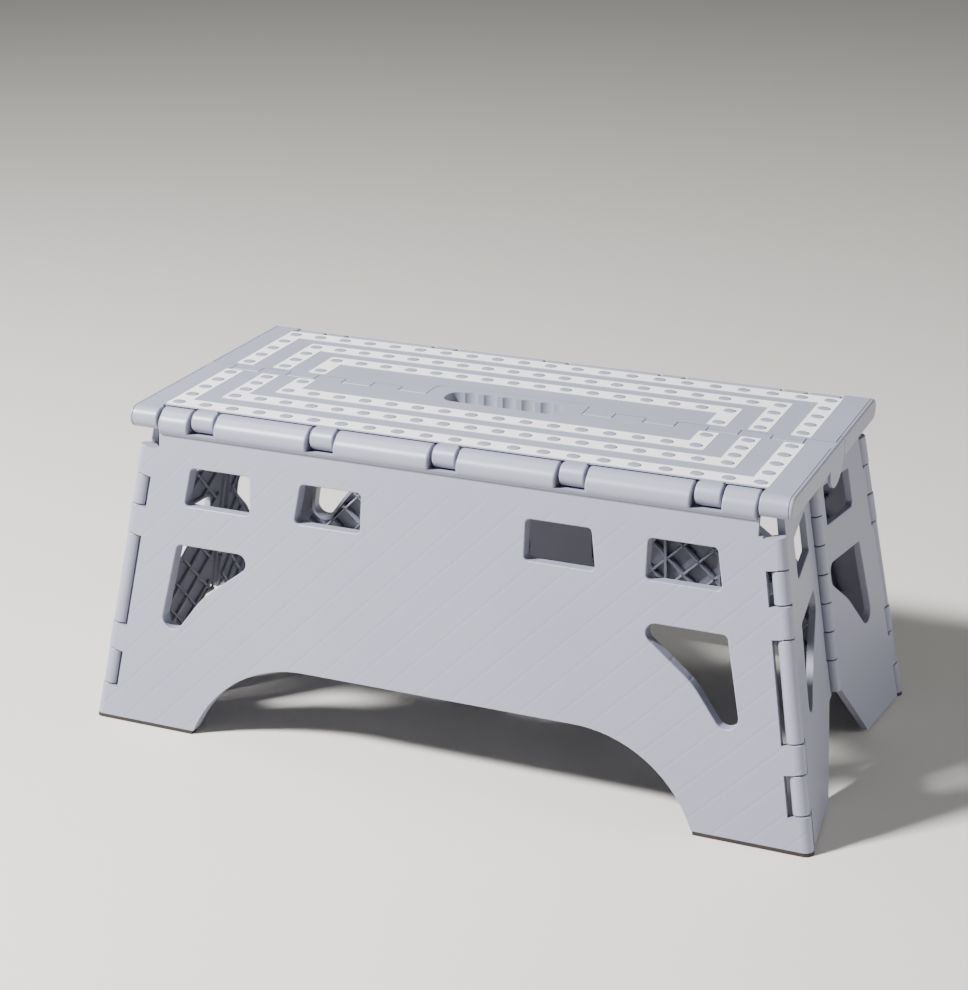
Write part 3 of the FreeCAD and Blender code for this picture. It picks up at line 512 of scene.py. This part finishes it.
def stud_tree():
    """Puts a low dome on every point."""
    tree, given = tree_with_inputs("domes_on_points", [("Radius", "NodeSocketFloat"),
                                                       ("Rise", "NodeSocketFloat"),
                                                       ("Finish", "NodeSocketMaterial")])
    ball = add_node(tree, "GeometryNodeMeshUVSphere", {"Segments": 16, "Rings": 4, "Radius": 1.0})
    size = add_node(tree, "ShaderNodeCombineXYZ", {"X": given.outputs["Radius"], "Y": given.outputs["Radius"],
                                                   "Z": given.outputs["Rise"]})
    dome = add_node(tree, "GeometryNodeTransform", {"Geometry": ball.outputs[0], "Scale": size.outputs[0]})
    smooth = add_node(tree, "GeometryNodeSetShadeSmooth", {"Geometry": dome.outputs[0], "Shade Smooth": True})
    placed = add_node(tree, "GeometryNodeInstanceOnPoints",
                      {"Points": given.outputs["Mesh"], "Instance": smooth.outputs[0]})
    real = add_node(tree, "GeometryNodeRealizeInstances", {"Geometry": placed.outputs[0]})
    painted = add_node(tree, "GeometryNodeSetMaterial",
                       {"Geometry": real.outputs[0], "Material": given.outputs["Finish"]})
    add_node(tree, "NodeGroupOutput", {"Mesh": painted.outputs[0]})
    return tree


# %% Studs of each top half
STUDS = stud_tree()


def stud_places(band_node, along_row, up_leg):
    """Middles of a band's studs, in millimetres, from the band's own box."""
    low, high = (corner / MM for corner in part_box(band_node))
    side = math.copysign(1, low.y + high.y)
    corner_x = high.x - BAND_HALF_WIDTH
    row_y = max(abs(low.y), abs(high.y)) - BAND_HALF_WIDTH
    step = 2 * corner_x / (along_row - 1)
    places = [(-corner_x + step * index, side * row_y) for index in range(along_row)]
    for index in range(1, up_leg + 1):
        in_leg = row_y + (LAST_STUD - row_y) * index / up_leg
        places += [(corner_x, side * in_leg), (-corner_x, side * in_leg)]
    return [(x, y, high.z - BAND_PROUD) for x, y in places]


for half, body in (("front", "front_top"), ("rear", "rear_top")):
    places = []
    for band, (along_row, up_leg) in STUD_COUNTS.items():
        places += stud_places(f"grip_{half}_{band}", along_row, up_leg)
    points = bpy.data.meshes.new("stud_places")
    points.from_pydata(places, [], [])
    studs = plain_mesh_from(f"studs_{half}", points, STUDS,
                            {"Radius": STUD_RADIUS, "Rise": STUD_RISE, "Finish": body_plastic},
                            Matrix.Scale(MM, 4))
    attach(studs, body)
    print(studs.name, len(places), "studs")

# %% [markdown]
# ## Floor, light and camera
# A pale floor, a soft light from the upper left in front, a weaker one from the right and a dim
# even sky show the satin plastic well: the top and the leg in front are bright, the ends are in
# half shade, and the inside of the stool is dark. The camera stands to the right in front of the
# stool and looks down at it.

# %% Floor
FLOOR_HALF = 6.0
floor_mesh = bpy.data.meshes.new("floor")
floor_mesh.from_pydata([(-FLOOR_HALF, -FLOOR_HALF, 0), (FLOOR_HALF, -FLOOR_HALF, 0),
                        (FLOOR_HALF, FLOOR_HALF, 0), (-FLOOR_HALF, FLOOR_HALF, 0)], [], [(0, 1, 2, 3)])
floor = bpy.data.objects.new("floor", floor_mesh)
bpy.context.scene.collection.objects.link(floor)
floor_finish, floor_tree = new_material("pale_matt_floor")
floor_shader = add_node(floor_tree, "ShaderNodeBsdfPrincipled",
                        {"Base Color": linear("D9D5CE"), "Roughness": 0.7})
add_node(floor_tree, "ShaderNodeOutputMaterial", {"Surface": floor_shader.outputs[0]})
floor_mesh.materials.append(floor_finish)


# %% Light
def soft_light(name, place, target, power, size):
    """A square area light that faces a point."""
    lamp = bpy.data.lights.new(name, "AREA")
    lamp.energy = power
    lamp.size = size
    holder = bpy.data.objects.new(name, lamp)
    holder.location = place
    holder.rotation_euler = (Vector(target) - Vector(place)).to_track_quat("-Z", "Y").to_euler()
    bpy.context.scene.collection.objects.link(holder)


soft_light("key_light", (-1.15, -1.15, 1.8), (0, 0, 0.15), 180.0, 0.3)
soft_light("side_light", (2.7, 0.5, 1.0), (0, 0, 0.1), 34.0, 1.4)
SKY_STRENGTH = 0.2
sky = bpy.data.worlds.new("even_sky")
sky.use_nodes = True
sky.node_tree.nodes["Background"].inputs["Color"].default_value = linear("DDE0E2")
sky.node_tree.nodes["Background"].inputs["Strength"].default_value = SKY_STRENGTH
bpy.context.scene.world = sky

# %% Camera
CAMERA_PLACE = Vector((0.5186, -1.2770, 0.6773))
CAMERA_YAW = -0.396             # radians, turned from +Y towards +X
CAMERA_PITCH = 0.362            # radians, looking down
CAMERA_LENS = 79.48

camera = bpy.data.cameras.new("camera")
camera.lens = CAMERA_LENS
camera.sensor_width = 36.0
camera_holder = bpy.data.objects.new("camera", camera)
looking = Vector((math.sin(CAMERA_YAW) * math.cos(CAMERA_PITCH),
                  math.cos(CAMERA_YAW) * math.cos(CAMERA_PITCH), -math.sin(CAMERA_PITCH)))
camera_holder.location = CAMERA_PLACE
camera_holder.rotation_euler = looking.to_track_quat("-Z", "Y").to_euler()
bpy.context.scene.collection.objects.link(camera_holder)
bpy.context.scene.camera = camera_holder
